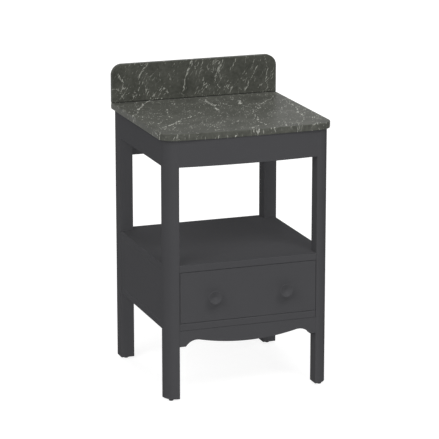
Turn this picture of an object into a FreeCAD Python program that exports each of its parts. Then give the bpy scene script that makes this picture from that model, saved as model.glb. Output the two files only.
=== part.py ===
import FreeCAD, Part
import math
import os
import types

import Sketcher

# A painted washstand: four legs joined by rails under a stone top, an open shelf, and one inset
# drawer on telescopic runners above a scalloped apron.
# The origin is on the floor, in the middle of the overall width and depth. +X is the right-hand
# side seen from the front, -Y is the front and +Z is up. All lengths are millimetres.

DIMENSIONS = (
    # Leg frame
    ("frame_width", 500, "across the outer faces of the legs"),
    ("frame_depth", 470, "from the front faces of the legs to their back faces"),
    ("leg_size", 41, "side of the square leg section"),
    ("leg_round", 38, "quarter-round on the outer corner of a front leg"),
    ("leg_length", 762.5, "leg from its foot to the stone"),
    ("rail_height", 78.5, "height of the frieze and the side rails"),
    ("rail_thick", 22, "thickness of the side rails and of the frieze at its ends"),
    ("rail_set_in", 0.5, "side rail behind the outer faces of the legs"),
    ("frieze_bow", 12, "rise of the bowed frieze at its middle"),
    ("frieze_arris", 1, "eased lower edge of the frieze"),
    ("back_rail_height", 139, "height of the back rail"),
    ("back_rail_thick", 18, "thickness of the back rail"),
    ("back_rail_set_in", 2, "back rail in front of the back faces of the legs"),
    ("wall_hole_radius", 3, "holes in the back rail for wall screws"),
    ("wall_hole_spacing", 300, "between the two wall holes"),
    ("wall_hole_drop", 45, "wall holes below the top of the back rail"),
    ("tenon_thick", 10, "tenon on the end of each rail"),
    ("tenon_length", 20, "tenon into the leg"),
    ("tenon_shoulder", 10, "shoulder above and below a tenon"),
    ("tenon_play", 0.2, "glue room round a tenon"),
    ("block_reach", 45, "corner block along a rail, past the leg"),
    ("block_height", 60, "height of a corner block"),
    # Foot glides
    ("glide_radius", 7, "plastic disc under a leg"),
    ("glide_height", 7, "leg above the floor"),
    ("glide_pin_radius", 2.5, "pin of the glide in the leg"),
    ("glide_pin_length", 18, "length of that pin"),
    ("bore_play", 0.3, "a screw or pin inside its hole, on the radius"),
    # Stone
    ("slab_thick", 19, "stone top"),
    ("side_overhang", 9.5, "stone past the outer faces of the legs"),
    ("back_overhang", 9.5, "stone past the back faces of the legs"),
    ("front_overhang", 15, "stone past the front faces of the legs, at its middle"),
    ("slab_bow", 11.5, "rise of the bowed front edge over the whole width"),
    ("slab_corner", 45, "front corners of the stone in plan"),
    ("stone_arris", 1.2, "eased edges of the stone"),
    ("splash_height", 115, "splashback above the stone top"),
    ("splash_thick", 18, "splashback"),
    ("splash_corner", 33, "upper corners of the splashback"),
    # Shelf and drawer case
    ("shelf_level", 404, "top of the shelf above the floor"),
    ("shelf_thick", 20, "shelf board"),
    ("shelf_arris", 1, "eased front edge of the shelf"),
    ("opening_height", 152.5, "drawer opening between the two boards"),
    ("board_thick", 21, "bottom board under the drawer"),
    ("board_set_in", 1.5, "board edges behind the outer faces of the legs"),
    ("panel_thick", 18, "side panel"),
    ("panel_set_in", 1.8, "side panel behind the outer faces of the legs"),
    ("back_panel_thick", 9, "back panel behind the drawer"),
    ("back_panel_set_in", 6, "back panel in front of the back faces of the legs"),
    ("apron_height", 47, "apron at its ends and at its belly"),
    ("apron_thick", 18, "apron"),
    ("apron_foot", 18.5, "straight end of the apron beside a leg"),
    ("scoop_radius", 40.5, "hollow beside each end of the apron"),
    ("scoop_rise", 17.8, "crest of that hollow above the ends"),
    ("glue_block_size", 20, "three-cornered glue block behind the apron"),
    ("glue_block_length", 70, "length of that block"),
    # Drawer runners
    ("packer_height", 60, "packing strip that carries a runner"),
    ("runner_height", 45, "fixed member of a runner"),
    ("runner_room", 12.7, "between the packing strip and the drawer side"),
    ("runner_sheet", 1.2, "sheet of the runner members"),
    ("runner_play", 0.4, "between two members that slide in each other"),
    ("runner_lip", 10, "flange of the fixed member"),
    ("runner_lag", 2, "front end of the runner behind the drawer front"),
    ("runner_rise", 62, "middle of the runner above the bottom board"),
    ("runner_nest", 3, "back of the middle member off the packing strip"),
    ("runner_screw_inset", 75, "runner screw from the nearer end of the runner"),
    ("screw_radius", 2, "shank of every screw"),
    ("screw_head_radius", 4, "head of every screw"),
    ("flat_head", 1.3, "height of a flat runner screw head"),
    ("pan_head", 2.4, "height of a pan head inside the drawer"),
    ("packer_screw_length", 16, "runner screw into the packing strip"),
    ("side_screw_length", 10, "runner screw into the drawer side"),
    # Drawer
    ("drawer_gap", 1.6, "gap all round the drawer front"),
    ("front_thick", 20, "drawer front"),
    ("front_arris", 0.8, "eased edges of the drawer front"),
    ("box_room", 33, "between the drawer box and the back panel"),
    ("box_height", 110, "drawer box"),
    ("box_wall", 12, "walls of the drawer box"),
    ("box_lift", 14, "drawer box above the bottom board"),
    ("bottom_thick", 6, "drawer bottom"),
    ("groove_depth", 6, "groove that holds the drawer bottom"),
    ("groove_lift", 10, "groove above the lower edge of the box"),
    ("groove_play", 0.2, "drawer bottom in its groove"),
    ("front_screw_inset", 34, "front screw from the inside of the drawer side"),
    ("front_screw_bite", 14, "front screw into the drawer front"),
    # Knobs
    ("knob_radius", 20.25, "rim of a knob"),
    ("knob_reach", 24, "knob in front of the drawer front"),
    ("knob_inset", 98.4, "middle of a knob from the end of the drawer front"),
    ("knob_base_radius", 9, "foot of a knob on the drawer front"),
    ("knob_neck_radius", 7, "narrowest part of the neck"),
    ("knob_neck_length", 9, "from the foot to the narrowest part"),
    ("knob_rim", 3, "thickness of the rim"),
    ("knob_dish", 5.5, "depth of the dished face"),
    ("knob_screw_bite", 12, "knob screw into the knob"),
    # Cuts
    ("overrun", 2, "every cut past the face that it opens"),
)

LEFT, RIGHT = -1, 1
SIDES = ((LEFT, "left"), (RIGHT, "right"))
FRONT, BACK = 1, -1


class Size:
    """A length with its value in millimetres and the expression that gives it in the document."""

    def __init__(self, value, text):
        self.value = value
        self.text = text

    def __add__(self, other):
        other = as_size(other)
        return Size(self.value + other.value, "(%s + %s)" % (self.text, other.text))

    def __sub__(self, other):
        other = as_size(other)
        return Size(self.value - other.value, "(%s - %s)" % (self.text, other.text))

    def __mul__(self, other):
        other = as_size(other)
        return Size(self.value * other.value, "(%s * %s)" % (self.text, other.text))

    def __truediv__(self, other):
        other = as_size(other)
        return Size(self.value / other.value, "(%s / %s)" % (self.text, other.text))

    def __neg__(self):
        return self * -1

    __rmul__ = __mul__


def as_size(thing):
    """Return a Size for a Size or a plain number."""
    if isinstance(thing, Size):
        return thing
    return Size(float(thing), "%r" % thing)


def root(size):
    """Return the square root of a Size."""
    return Size(math.sqrt(size.value), "sqrt(%s)" % size.text)


def arc_radius(half_chord, rise):
    """Radius of the arc that rises by rise over a chord of twice half_chord."""
    return (half_chord * half_chord + rise * rise) / (rise * 2)


doc = FreeCAD.newDocument("Washstand")
sheet = doc.addObject("Spreadsheet::Sheet", "Dimensions")
dim = types.SimpleNamespace()
for row, (alias, number, meaning) in enumerate(DIMENSIONS, start=1):
    sheet.set("A%d" % row, meaning)
    sheet.set("B%d" % row, "%g" % number)
    sheet.setAlias("B%d" % row, alias)
    setattr(dim, alias, Size(float(number), "Dimensions.%s" % alias))
doc.recompute()

# Places that several pieces share
half_width = dim.frame_width / 2
inner_half = half_width - dim.leg_size
clear_depth = dim.frame_depth - dim.leg_size * 2
leg_front = (dim.knob_reach - dim.frame_depth - dim.back_overhang) / 2
leg_back = leg_front + dim.frame_depth
frame_middle = leg_front + dim.frame_depth / 2
frame_top = dim.glide_height + dim.leg_length
board_top = dim.shelf_level - dim.shelf_thick - dim.opening_height
board_low = board_top - dim.board_thick
runner_level = board_top + dim.runner_rise
screw_hole = dim.screw_radius + dim.bore_play
box_half = inner_half - dim.runner_room
box_low = board_top + dim.box_lift
front_low = board_top + dim.drawer_gap
front_height = dim.opening_height - dim.drawer_gap * 2
knob_rise = front_height / 2
box_back_face = leg_front + dim.front_thick
front_screw_level = box_low + dim.box_height / 2
mortise_depth = dim.tenon_length + dim.tenon_play
knob_spread = inner_half - dim.drawer_gap - dim.knob_inset
front_screw_spread = box_half - dim.box_wall - dim.front_screw_inset
box_depth = leg_back - dim.back_panel_set_in - dim.back_panel_thick - dim.box_room - box_back_face
runner_front = box_back_face + dim.runner_lag
runner_length = box_depth - dim.runner_lag
runner_screw_front = runner_front + dim.runner_screw_inset
runner_screw_pitch = runner_length - dim.runner_screw_inset * 2


def origin_part(body, role):
    """Return one of the body's own origin planes or axes."""
    return next(part for part in body.Origin.OriginFeatures if part.Role == role)


def new_body(label, x, y, z):
    """Start a sub-part whose own origin lies at x, y, z."""
    body = doc.addObject("PartDesign::Body", label)
    body.Label = label
    for axis, place in zip("xyz", (x, y, z)):
        body.setExpression("Placement.Base.%s" % axis, as_size(place).text)
    return body


def new_sketch(body, role, offset=0):
    """Lay a sketch on an origin plane of the body, moved along the plane's normal by offset."""
    sketch = body.newObject("Sketcher::SketchObject", "Sketch")
    sketch.AttachmentSupport = [(origin_part(body, role), "")]
    sketch.MapMode = "FlatFace"
    sketch.setExpression("AttachmentOffset.Base.z", as_size(offset).text)
    return sketch


def fix_point(sketch, curve, end, point):
    """Tie one end of a curve to its place in the sketch."""
    for kind, axis, place in zip(("DistanceX", "DistanceY"), (-2, -1), point):
        place = as_size(place)
        if place.value == 0:
            sketch.addConstraint(Sketcher.Constraint("PointOnObject", curve, end, axis))
        else:
            index = sketch.addConstraint(Sketcher.Constraint(kind, -1, 1, curve, end, place.value))
            sketch.setExpression("Constraints[%d]" % index, place.text)


def vector(point):
    """Return a sketch point as a vector."""
    return FreeCAD.Vector(as_size(point[0]).value, as_size(point[1]).value, 0)


def draw_outline(sketch, points, arcs=None):
    """Draw a closed outline through the points.

    arcs maps the number of a side, counted from the first point, to the radius of its arc and the
    way that it bulges: 1 to the right of the direction of travel, -1 to the left.
    """
    arcs = arcs or {}
    ends = []
    for number, point in enumerate(points):
        start, finish = vector(point), vector(points[(number + 1) % len(points)])
        if number not in arcs:
            curve = sketch.addGeometry(Part.LineSegment(start, finish))
            ends.append((curve, 1, 2))
            continue
        radius, way = arcs[number]
        along = finish - start
        across = FreeCAD.Vector(along.y, -along.x, 0).normalize() * way
        rise = radius.value - math.sqrt(radius.value ** 2 - along.Length ** 2 / 4)
        crown = (start + finish) / 2 + across * rise
        curve = sketch.addGeometry(Part.Arc(start, crown, finish))
        index = sketch.addConstraint(Sketcher.Constraint("Radius", curve, radius.value))
        sketch.setExpression("Constraints[%d]" % index, radius.text)
        ends.append((curve, 1, 2) if way > 0 else (curve, 2, 1))
    for number, (curve, first, last) in enumerate(ends):
        after, after_first, _ = ends[(number + 1) % len(ends)]
        sketch.addConstraint(Sketcher.Constraint("Coincident", curve, last, after, after_first))
        fix_point(sketch, curve, first, points[number])


def draw_box(sketch, low, high):
    """Draw a rectangle between two opposite corners."""
    draw_outline(sketch, [low, (high[0], low[1]), high, (low[0], high[1])])


def draw_circle(sketch, centre, radius):
    """Draw a circle round a centre."""
    normal = FreeCAD.Vector(0, 0, 1)
    curve = sketch.addGeometry(Part.Circle(vector(centre), normal, radius.value))
    fix_point(sketch, curve, 3, centre)
    index = sketch.addConstraint(Sketcher.Constraint("Radius", curve, radius.value))
    sketch.setExpression("Constraints[%d]" % index, radius.text)


def add_pad(body, sketch, length, side="One side", backwards=False):
    """Pad a sketch and return the feature."""
    pad = body.newObject("PartDesign::Pad", "Pad")
    pad.Profile = sketch
    pad.SideType = side
    pad.Reversed = backwards
    pad.setExpression("Length", length.text)
    body.Tip = pad
    return pad


def add_cut(body, sketch, length):
    """Cut a sketch out of the body, half of length to each side of its plane."""
    doc.recompute()
    before = body.Shape.Volume
    pocket = body.newObject("PartDesign::Pocket", "Pocket")
    pocket.Profile = sketch
    pocket.SideType = "Symmetric"
    pocket.setExpression("Length", length.text)
    body.Tip = pocket
    doc.recompute()
    if not body.Shape.Volume < before:
        raise RuntimeError("a cut in %s removes nothing" % body.Label)
    return pocket


def add_turn(body, sketch, axis):
    """Turn a sketch once round an axis of the body and return the feature."""
    turned = body.newObject("PartDesign::Revolution", "Revolution")
    turned.Profile = sketch
    turned.ReferenceAxis = (origin_part(body, axis), [""])
    turned.Angle = 360
    body.Tip = turned
    return turned


def add_pair(body, feature, axis, length):
    """Repeat a feature once, at a length along an axis of the body."""
    pattern = body.newObject("PartDesign::LinearPattern", "LinearPattern")
    pattern.Originals = [feature]
    pattern.Direction = (origin_part(body, axis), [""])
    pattern.setExpression("Length", length.text)
    pattern.Occurrences = 2
    body.Tip = pattern
    return pattern


def dress_edges(body, kind, size_name, size, picks):
    """Add a dress-up feature to the edges of the body for which picks is true."""
    doc.recompute()
    base = body.Tip
    edges = enumerate(base.Shape.Edges, start=1)
    names = ["Edge%d" % number for number, edge in edges if picks(edge)]
    dressed = body.newObject("PartDesign::%s" % kind, kind)
    dressed.Base = (base, names)
    dressed.setExpression(size_name, size.text)
    body.Tip = dressed


def round_edges(body, radius, picks):
    """Round the edges of the body for which picks is true."""
    dress_edges(body, "Fillet", "Radius", radius, picks)


def ease_edges(body, width, picks):
    """Take a narrow chamfer off the edges of the body for which picks is true."""
    dress_edges(body, "Chamfer", "Size", width, picks)


def lies_at(edge, axis, size):
    """Tell whether an edge lies in the plane where a coordinate has one value."""
    box = edge.BoundBox
    low, high = {"x": (box.XMin, box.XMax), "y": (box.YMin, box.YMax), "z": (box.ZMin, box.ZMax)}[axis]
    near = 1e-3
    value = as_size(size).value
    return abs(low - value) < near and abs(high - value) < near


def board(label, place, low, high, height):
    """A plain rectangular board between two corners in plan."""
    body = new_body(label, *place)
    sketch = new_sketch(body, "XY_Plane")
    draw_box(sketch, low, high)
    add_pad(body, sketch, height)
    return body


def mortise_across(body, side, inset, low, high):
    """Cut a leg's mortise for a rail that runs from side to side."""
    length = mortise_depth + dim.overrun
    middle = dim.leg_size + dim.overrun - length / 2
    sketch = new_sketch(body, "YZ_Plane", middle * -side)
    half = dim.tenon_thick / 2 + dim.tenon_play
    draw_box(sketch, (inset - half, low - dim.tenon_play), (inset + half, high + dim.tenon_play))
    add_cut(body, sketch, length)


def mortise_along(body, side, end, low, high):
    """Cut a leg's mortise for the side rail."""
    length = mortise_depth + dim.overrun
    middle = dim.leg_size + dim.overrun - length / 2
    sketch = new_sketch(body, "XZ_Plane", middle * -end)
    half = dim.tenon_thick / 2 + dim.tenon_play
    inset = dim.rail_set_in + dim.rail_thick / 2
    near, far = (inset - half) * -side, (inset + half) * -side
    draw_box(sketch, (near, low - dim.tenon_play), (far, high + dim.tenon_play))
    add_cut(body, sketch, length)


def leg(label, side, end):
    """A leg from its foot, with its mortises and the hole for its glide."""
    place_y = leg_front if end == FRONT else leg_back
    body = new_body(label, half_width * side, place_y, dim.glide_height)
    inward, depth = dim.leg_size * -side, dim.leg_size * end
    sketch = new_sketch(body, "XY_Plane")
    if end == FRONT:
        bend = dim.leg_round
        points = [(bend * -side, 0), (inward, 0), (inward, depth), (0, depth), (0, bend)]
        draw_outline(sketch, points, {4: (bend, -side)})
    else:
        draw_box(sketch, (0, 0), (inward, depth))
    add_pad(body, sketch, dim.leg_length)
    high = dim.leg_length - dim.tenon_shoulder
    side_low = dim.leg_length - dim.rail_height + dim.tenon_shoulder
    mortise_along(body, side, end, side_low, high)
    if end == FRONT:
        mortise_across(body, side, dim.rail_thick / 2, side_low, high)
    else:
        inset = -(dim.back_rail_set_in + dim.back_rail_thick / 2)
        back_low = dim.leg_length - dim.back_rail_height + dim.tenon_shoulder
        mortise_across(body, side, inset, back_low, high)
    bore = dim.glide_pin_length + dim.bore_play + dim.overrun
    hole = new_sketch(body, "XY_Plane", bore / 2 - dim.overrun)
    draw_circle(hole, (inward / 2, depth / 2), dim.glide_pin_radius + dim.bore_play)
    add_cut(body, hole, bore)


def foot_glides():
    """Four turned plastic glides, each with the pin that holds it in its leg."""
    inset = dim.leg_size / 2
    body = new_body("foot_glides", inset - half_width, leg_front + inset, 0)
    sketch = new_sketch(body, "XZ_Plane")
    tip = dim.glide_height + dim.glide_pin_length
    draw_outline(sketch, [
        (0, 0),
        (dim.glide_radius, 0),
        (dim.glide_radius, dim.glide_height),
        (dim.glide_pin_radius, dim.glide_height),
        (dim.glide_pin_radius, tip),
        (0, tip),
    ])
    turned = add_turn(body, sketch, "Z_Axis")
    grid = add_pair(body, turned, "X_Axis", dim.frame_width - dim.leg_size)
    grid.Direction2 = (origin_part(body, "Y_Axis"), [""])
    grid.setExpression("Length2", (dim.frame_depth - dim.leg_size).text)
    grid.Occurrences2 = 2


def frieze():
    """The bow-fronted rail between the front legs, flat behind, with a tenon at each end."""
    body = new_body("frieze_rail", 0, leg_front, frame_top - dim.rail_height)
    sketch = new_sketch(body, "XY_Plane")
    points = [(-inner_half, 0), (inner_half, 0), (inner_half, dim.rail_thick), (-inner_half, dim.rail_thick)]
    draw_outline(sketch, points, {0: (arc_radius(inner_half, dim.frieze_bow), 1)})
    add_pad(body, sketch, dim.rail_height)
    tenons = new_sketch(body, "YZ_Plane")
    near, far = (dim.rail_thick - dim.tenon_thick) / 2, (dim.rail_thick + dim.tenon_thick) / 2
    draw_box(tenons, (near, dim.tenon_shoulder), (far, dim.rail_height - dim.tenon_shoulder))
    add_pad(body, tenons, (inner_half + dim.tenon_length) * 2, "Symmetric")
    ease_edges(body, dim.frieze_arris, lambda edge: lies_at(edge, "z", 0) and edge.BoundBox.YMin < 0)


def side_rail(label, side):
    """A top rail between the front and back legs of one side, with a tenon at each end."""
    place = ((half_width - dim.rail_set_in) * side, frame_middle, frame_top - dim.rail_height)
    inward = dim.rail_thick * -side
    body = board(label, place, (0, -clear_depth / 2), (inward, clear_depth / 2), dim.rail_height)
    tenons = new_sketch(body, "XZ_Plane")
    near = (dim.rail_thick - dim.tenon_thick) / 2 * -side
    far = (dim.rail_thick + dim.tenon_thick) / 2 * -side
    draw_box(tenons, (near, dim.tenon_shoulder), (far, dim.rail_height - dim.tenon_shoulder))
    add_pad(body, tenons, clear_depth + dim.tenon_length * 2, "Symmetric")


def back_rail():
    """The deep top rail between the back legs, bored for two wall screws."""
    place = (0, leg_back - dim.back_rail_set_in, frame_top - dim.back_rail_height)
    low, high = (-inner_half, -dim.back_rail_thick), (inner_half, 0)
    body = board("back_rail", place, low, high, dim.back_rail_height)
    tenons = new_sketch(body, "YZ_Plane")
    near = (dim.back_rail_thick + dim.tenon_thick) / -2
    far = (dim.back_rail_thick - dim.tenon_thick) / -2
    draw_box(tenons, (near, dim.tenon_shoulder), (far, dim.back_rail_height - dim.tenon_shoulder))
    add_pad(body, tenons, (inner_half + dim.tenon_length) * 2, "Symmetric")
    holes = new_sketch(body, "XZ_Plane")
    for side, _ in SIDES:
        centre = (dim.wall_hole_spacing / 2 * side, dim.back_rail_height - dim.wall_hole_drop)
        draw_circle(holes, centre, dim.wall_hole_radius)
    add_cut(body, holes, (dim.back_rail_thick + dim.overrun) * 2)


def corner_block(label, side, end):
    """A glued block in a corner of the top frame, notched round the leg."""
    place_x = (half_width - dim.rail_set_in - dim.rail_thick) * side
    if end == FRONT:
        place_y, behind = leg_front + dim.rail_thick, dim.rail_thick
    else:
        behind = dim.back_rail_set_in + dim.back_rail_thick
        place_y = leg_back - behind
    body = new_body(label, place_x, place_y, frame_top - dim.block_height)
    beside_leg = (dim.leg_size - dim.rail_set_in - dim.rail_thick) * -side
    past_leg = (dim.leg_size - behind) * end
    reach_x, reach_y = dim.block_reach * -side, dim.block_reach * end
    sketch = new_sketch(body, "XY_Plane")
    draw_outline(sketch, [
        (0, past_leg),
        (beside_leg, past_leg),
        (beside_leg, 0),
        (beside_leg + reach_x, 0),
        (0, past_leg + reach_y),
    ])
    add_pad(body, sketch, dim.block_height)


def notched_board(label, top, thick):
    """A board as wide as the case, notched round the four legs."""
    body = new_body(label, 0, leg_front, top - thick)
    wide = half_width - dim.board_set_in
    near, far = dim.leg_size, dim.frame_depth - dim.leg_size
    right = [
        (inner_half, 0),
        (inner_half, near),
        (wide, near),
        (wide, far),
        (inner_half, far),
        (inner_half, dim.frame_depth),
    ]
    left = [(-x, y) for x, y in reversed(right)]
    sketch = new_sketch(body, "XY_Plane")
    draw_outline(sketch, right + left)
    add_pad(body, sketch, thick)
    return body


def shelf():
    """The open shelf, with an eased front edge."""
    body = notched_board("shelf", dim.shelf_level, dim.shelf_thick)

    def is_front_top(edge):
        """Tell whether an edge is the upper one in front."""
        return lies_at(edge, "y", 0) and lies_at(edge, "z", dim.shelf_thick)

    ease_edges(body, dim.shelf_arris, is_front_top)


def side_panel(label, side):
    """A panel that closes one side of the drawer case."""
    place = ((half_width - dim.panel_set_in) * side, frame_middle, board_top)
    low, high = (0, -clear_depth / 2), (dim.panel_thick * -side, clear_depth / 2)
    board(label, place, low, high, dim.opening_height)


def back_panel():
    """The panel that closes the back of the drawer case."""
    place = (0, leg_back - dim.back_panel_set_in, board_top)
    board("back_panel", place, (-inner_half, -dim.back_panel_thick), (inner_half, 0), dim.opening_height)


def apron():
    """The scalloped apron: two hollows that run over into one shallow belly.

    Each hollow is an arc from the foot beside the leg up to its crest. The belly is the one arc
    that touches both hollows and hangs as low as the feet.
    """
    body = new_body("apron", 0, leg_front, board_low)
    low = -dim.apron_height
    foot = inner_half - dim.apron_foot
    bend, rise = dim.scoop_radius, dim.scoop_rise
    crest = foot - root(bend * rise * 2 - rise * rise)
    drop = bend - rise
    belly = (crest * crest + drop * drop - bend * bend) / (rise * 2)
    touch_x = crest * belly / (bend + belly)
    touch_z = low - drop + bend * (belly + drop) / (bend + belly)
    sketch = new_sketch(body, "XZ_Plane")
    points = [
        (-inner_half, 0),
        (-inner_half, low),
        (-foot, low),
        (-touch_x, touch_z),
        (touch_x, touch_z),
        (foot, low),
        (inner_half, low),
        (inner_half, 0),
    ]
    draw_outline(sketch, points, {2: (bend, -1), 3: (belly, 1), 4: (bend, -1)})
    add_pad(body, sketch, dim.apron_thick, backwards=True)


def glue_block(label, side):
    """A three-cornered block glued behind the apron, under the bottom board."""
    body = new_body(label, inner_half / 2 * side, leg_front + dim.apron_thick, board_low)
    sketch = new_sketch(body, "YZ_Plane")
    draw_outline(sketch, [(0, 0), (0, -dim.glue_block_size), (dim.glue_block_size, 0)])
    add_pad(body, sketch, dim.glue_block_length, "Symmetric")


def slab():
    """The stone top, bowed in front, with rounded front corners and eased edges."""
    body = new_body("stone_top", 0, leg_front, frame_top)
    wide = half_width + dim.side_overhang
    back = dim.frame_depth + dim.back_overhang
    front = dim.slab_bow - dim.front_overhang
    sketch = new_sketch(body, "XY_Plane")
    points = [(-wide, front), (wide, front), (wide, back), (-wide, back)]
    draw_outline(sketch, points, {0: (arc_radius(wide, dim.slab_bow), 1)})
    add_pad(body, sketch, dim.slab_thick)
    round_edges(body, dim.slab_corner, lambda edge: lies_at(edge, "y", front))

    def is_above_or_below(edge):
        """Tell whether an edge bounds the upper or the lower face."""
        return lies_at(edge, "z", 0) or lies_at(edge, "z", dim.slab_thick)

    ease_edges(body, dim.stone_arris, is_above_or_below)


def splashback():
    """The stone splashback, with rounded upper corners, standing on the back of the top."""
    back = leg_back + dim.back_overhang
    body = new_body("stone_splashback", 0, back - dim.splash_thick, frame_top + dim.slab_thick)
    wide = half_width + dim.side_overhang
    bend, high = dim.splash_corner, dim.splash_height
    sketch = new_sketch(body, "XZ_Plane")
    points = [
        (-wide, 0),
        (wide, 0),
        (wide, high - bend),
        (wide - bend, high),
        (bend - wide, high),
        (-wide, high - bend),
    ]
    draw_outline(sketch, points, {2: (bend, 1), 4: (bend, 1)})
    add_pad(body, sketch, dim.splash_thick, backwards=True)

    def on_a_face(edge):
        """Tell whether an edge bounds the front or the back, apart from the foot."""
        on_face = lies_at(edge, "y", 0) or lies_at(edge, "y", dim.splash_thick)
        return on_face and not lies_at(edge, "z", 0)

    ease_edges(body, dim.stone_arris, on_a_face)


def packer(label, side):
    """The packing strip that brings a runner flush with the legs."""
    thick = dim.leg_size - dim.panel_set_in - dim.panel_thick
    place = (inner_half * side, frame_middle, runner_level - dim.packer_height / 2)
    low, high = (0, -clear_depth / 2), (thick * side, clear_depth / 2)
    body = board(label, place, low, high, dim.packer_height)
    first = runner_screw_front - frame_middle
    depth = dim.packer_screw_length + dim.bore_play + dim.overrun
    sketch = new_sketch(body, "YZ_Plane", (depth / 2 - dim.overrun) * side)
    draw_circle(sketch, (first, dim.packer_height / 2), screw_hole)
    hole = add_cut(body, sketch, depth)
    add_pair(body, hole, "Y_Axis", runner_screw_pitch)


def runner_member(label, side, back, lip, half):
    """A channel of a runner: its back at one distance from the packing strip, its lips at another."""
    body = new_body(label, inner_half * side, runner_front, runner_level)
    toward_drawer = lip.value > back.value
    inside = back + dim.runner_sheet if toward_drawer else back - dim.runner_sheet
    outer, inner, edge = back * -side, inside * -side, lip * -side
    shoulder = half - dim.runner_sheet
    sketch = new_sketch(body, "XZ_Plane")
    draw_outline(sketch, [
        (outer, -half),
        (edge, -half),
        (edge, -shoulder),
        (inner, -shoulder),
        (inner, shoulder),
        (edge, shoulder),
        (edge, half),
        (outer, half),
    ])
    add_pad(body, sketch, runner_length, backwards=True)
    return body


def bore_member(body, side, back):
    """Bore the two screw holes through the back of a runner member."""
    sketch = new_sketch(body, "YZ_Plane", back * -side)
    draw_circle(sketch, (dim.runner_screw_inset, 0), screw_hole)
    hole = add_cut(body, sketch, (dim.runner_sheet + dim.overrun) * 2)
    add_pair(body, hole, "Y_Axis", runner_screw_pitch)


def runner(side, name):
    """The three members of a telescopic runner, each nested in the one before."""
    fixed_half = dim.runner_height / 2
    middle_half = fixed_half - dim.runner_sheet - dim.runner_play
    drawer_half = middle_half - dim.runner_sheet - dim.runner_play
    fixed = runner_member("runner_fixed_%s" % name, side, as_size(0), dim.runner_lip, fixed_half)
    bore_member(fixed, side, as_size(0))
    runner_member("runner_middle_%s" % name, side, dim.runner_nest, dim.runner_lip, middle_half)
    inner_lip = dim.runner_nest + dim.runner_sheet + dim.runner_play
    member = runner_member("runner_drawer_%s" % name, side, dim.runner_room, inner_lip, drawer_half)
    bore_member(member, side, dim.runner_room)


def runner_screws(label, side, seat, way, length):
    """Two flat-headed screws along a runner, their heads on the sheet at seat."""
    body = new_body(label, inner_half * side, runner_screw_front, runner_level)
    head = (seat - dim.flat_head * way) * -side
    tip = (seat + length * way) * -side
    face = seat * -side
    sketch = new_sketch(body, "XZ_Plane")
    draw_outline(sketch, [
        (head, 0),
        (head, dim.screw_head_radius),
        (face, dim.screw_head_radius),
        (face, dim.screw_radius),
        (tip, dim.screw_radius),
        (tip, 0),
    ])
    screw = add_turn(body, sketch, "X_Axis")
    add_pair(body, screw, "Y_Axis", runner_screw_pitch)


def drawer_front():
    """The inset drawer front, bored for the knob screws and the screws from the box."""
    body = new_body("drawer_front", 0, leg_front, front_low)
    half = inner_half - dim.drawer_gap
    sketch = new_sketch(body, "XZ_Plane")
    draw_box(sketch, (-half, 0), (half, front_height))
    add_pad(body, sketch, dim.front_thick, backwards=True)
    ease_edges(body, dim.front_arris, lambda edge: lies_at(edge, "y", 0))
    knob_holes = new_sketch(body, "XZ_Plane", -dim.front_thick / 2)
    for side, _ in SIDES:
        draw_circle(knob_holes, (knob_spread * side, knob_rise), screw_hole)
    add_cut(body, knob_holes, dim.front_thick + dim.overrun)
    depth = dim.front_screw_bite + dim.bore_play + dim.overrun
    pilots = new_sketch(body, "XZ_Plane", -(dim.front_thick + dim.overrun - depth / 2))
    for side, _ in SIDES:
        draw_circle(pilots, (front_screw_spread * side, front_screw_level - front_low), screw_hole)
    add_cut(body, pilots, depth)


def cut_groove(body, role, low, high, length, offset=0):
    """Cut the groove for the drawer bottom."""
    foot = dim.groove_lift
    head = foot + dim.bottom_thick + dim.groove_play * 2
    sketch = new_sketch(body, role, offset)
    draw_box(sketch, (low, foot), (high, head))
    add_cut(body, sketch, length)


def box_front():
    """The inner front of the drawer box, grooved for the bottom and bored for the screws."""
    half = box_half - dim.box_wall
    place = (0, box_back_face, box_low)
    body = board("drawer_box_front", place, (-half, 0), (half, dim.box_wall), dim.box_height)
    cut_groove(body, "YZ_Plane", dim.box_wall - dim.groove_depth, dim.box_wall + dim.overrun, box_half * 2)
    holes = new_sketch(body, "XZ_Plane", -dim.box_wall / 2)
    shift = front_low - box_low
    for side, _ in SIDES:
        draw_circle(holes, (knob_spread * side, knob_rise + shift), screw_hole)
        draw_circle(holes, (front_screw_spread * side, front_screw_level - box_low), screw_hole)
    add_cut(body, holes, dim.box_wall + dim.overrun)


def box_side(label, side):
    """A side of the drawer box, grooved for the bottom and bored for the runner screws."""
    place = (box_half * side, box_back_face, box_low)
    body = board(label, place, (0, 0), (dim.box_wall * -side, box_depth), dim.box_height)
    near = (dim.box_wall - dim.groove_depth) * -side
    far = (dim.box_wall + dim.overrun) * -side
    length = box_depth + dim.overrun * 2
    cut_groove(body, "XZ_Plane", near, far, length, box_depth / -2)
    depth = dim.side_screw_length + dim.bore_play + dim.overrun
    sketch = new_sketch(body, "YZ_Plane", (depth / 2 - dim.overrun) * -side)
    first = runner_screw_front - box_back_face
    draw_circle(sketch, (first, runner_level - box_low), screw_hole)
    hole = add_cut(body, sketch, depth)
    add_pair(body, hole, "Y_Axis", runner_screw_pitch)


def box_back():
    """The back of the drawer box, standing on the drawer bottom."""
    half = box_half - dim.box_wall
    lift = dim.groove_lift + dim.groove_play + dim.bottom_thick
    place = (0, box_back_face + box_depth - dim.box_wall, box_low + lift)
    board("drawer_box_back", place, (-half, 0), (half, dim.box_wall), dim.box_height - lift)


def box_bottom():
    """The drawer bottom, slid into the grooves from behind."""
    half = box_half - dim.box_wall + dim.groove_depth - dim.groove_play
    front = dim.box_wall - dim.groove_depth + dim.groove_play
    place = (0, box_back_face, box_low + dim.groove_lift + dim.groove_play)
    board("drawer_box_bottom", place, (-half, front), (half, box_depth), dim.bottom_thick)


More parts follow.
